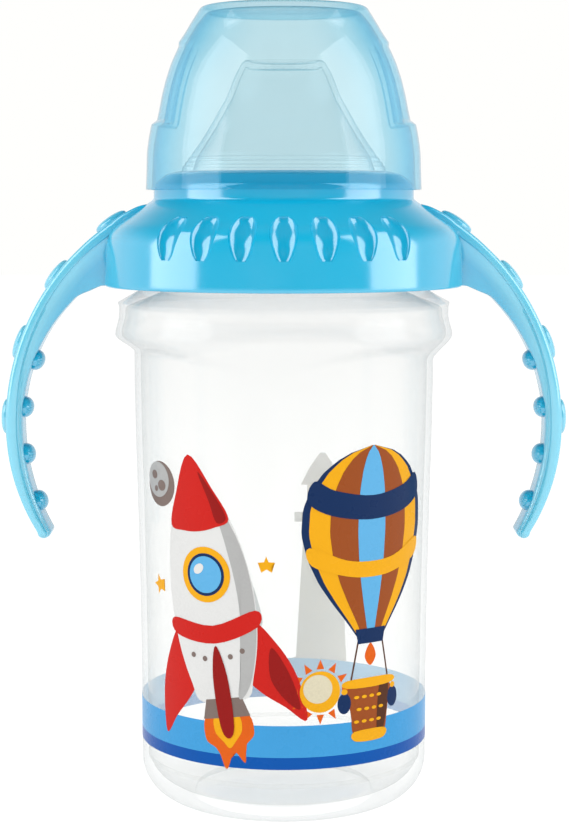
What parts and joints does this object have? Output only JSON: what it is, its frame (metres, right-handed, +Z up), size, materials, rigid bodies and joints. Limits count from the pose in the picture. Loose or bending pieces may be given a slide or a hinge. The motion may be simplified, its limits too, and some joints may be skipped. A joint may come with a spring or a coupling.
{
  "type": "sippy cup",
  "caption": "Spill-resistant trainer cup: clear body, screw collar moulded with two side handles, soft spout with a flow valve, and a push-on cap.",
  "frame": {"origin": "centre of the ring that the cup stands on", "axes": "+Z up along the cup's axis, X through the two handles, -Y the front"},
  "size_m": [0.1182, 0.0742, 0.1654],
  "materials": {
    "clear_body": "clear, slightly milky polypropylene, smooth",
    "blue_collar": "glossy light-blue polypropylene",
    "clear_silicone": "clear soft silicone, slightly hazy",
    "milky_silicone": "milky soft silicone",
    "tinted_cap": "transparent pale-blue plastic, glossy"
  },
  "bodies": {
    "cup": {"cup_body": "clear_body"},
    "spout": {"spout": "clear_silicone"},
    "collar": {"collar": "blue_collar"},
    "valve": {"flow_valve": "milky_silicone"},
    "cap": {"cap": "tinted_cap"}
  },
  "joints": [
    {"name": "spout_rise", "type": "slide", "parent": "cup", "child": "spout", "axis": [0, 0, 1], "range_m": [0, 0.005]},
    {"name": "collar_turn", "type": "hinge", "parent": "spout", "child": "collar", "pos_m": [0, 0, 0.115], "axis": [0, 0, 1], "range_deg": [0, 450]},
    {"name": "cap_pull", "type": "slide", "parent": "collar", "child": "cap", "axis": [0, 0, 1], "range_m": [0, 0.035]},
    {"name": "valve_pull", "type": "slide", "parent": "spout", "child": "valve", "axis": [0, 0, -1], "range_m": [0, 0.007]}
  ],
  "couplings": [
    {"joint": "spout_rise", "follows": "collar_turn", "m_per_rad": 0.00063662}
  ]
}
